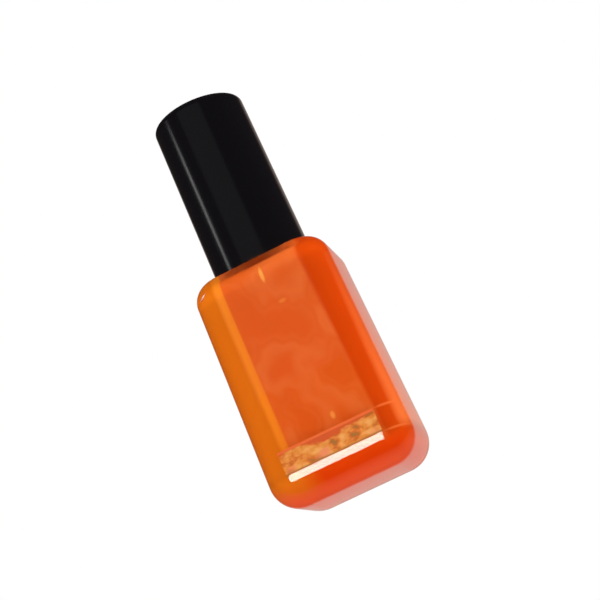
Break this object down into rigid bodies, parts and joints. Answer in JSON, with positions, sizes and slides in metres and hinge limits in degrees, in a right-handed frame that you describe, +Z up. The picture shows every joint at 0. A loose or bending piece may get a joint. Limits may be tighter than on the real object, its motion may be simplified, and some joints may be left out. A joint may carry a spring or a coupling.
{
  "type": "nail polish bottle",
  "caption": "Tapered square glass bottle of orange nail lacquer with a thick clear base, a gold foil band and a glossy black screw cap that carries the brush.",
  "frame": {"origin": "middle of the flat base on which the bottle stands", "axes": "+Z up along the neck, the labelled front faces -Y, +X to the right seen from the front"},
  "size_m": [0.0258, 0.0259, 0.0728],
  "materials": {
    "bottle_glass": "clear pressed glass, fire-polished",
    "lacquer": "orange nitrocellulose lacquer, liquid",
    "ball_steel": "polished stainless steel",
    "gold_foil": "mottled gold foil, no printing",
    "cap_plastic": "black moulded plastic, high gloss",
    "closure_plastic": "black polypropylene",
    "gasket_foam": "white closed-cell foam liner",
    "stem_plastic": "black polypropylene",
    "staple_metal": "flat wire",
    "bristle_nylon": "dark nylon filaments, lacquer on their ends"
  },
  "bodies": {
    "bottle": {"glass_bottle": "bottle_glass", "nail_lacquer": "lacquer", "foil_label": "gold_foil"},
    "ball_left": {"mixing_ball_left": "ball_steel"},
    "ball_right": {"mixing_ball_right": "ball_steel"},
    "gasket": {"sealing_gasket": "gasket_foam"},
    "cap": {"overcap": "cap_plastic", "inner_cap": "closure_plastic", "brush_stem": "stem_plastic", "bristle_staple": "staple_metal", "brush_bristles": "bristle_nylon"}
  },
  "joints": [
    {"name": "cap_lift", "type": "slide", "parent": "bottle", "child": "gasket", "axis": [0, 0, 1], "range_m": [0, 0.06]},
    {"name": "cap_turn", "type": "hinge", "parent": "gasket", "child": "cap", "pos_m": [0, 0, 0.05], "axis": [0, 0, 1], "range_deg": [0, 540]},
    {"name": "ball_left_roll", "type": "slide", "parent": "bottle", "child": "ball_left", "axis": [1, 0, 0], "range_m": [-0.0019, 0.00395]},
    {"name": "ball_right_roll", "type": "slide", "parent": "bottle", "child": "ball_right", "axis": [1, 0, 0], "range_m": [-0.00395, 0.0019]}
  ]
}
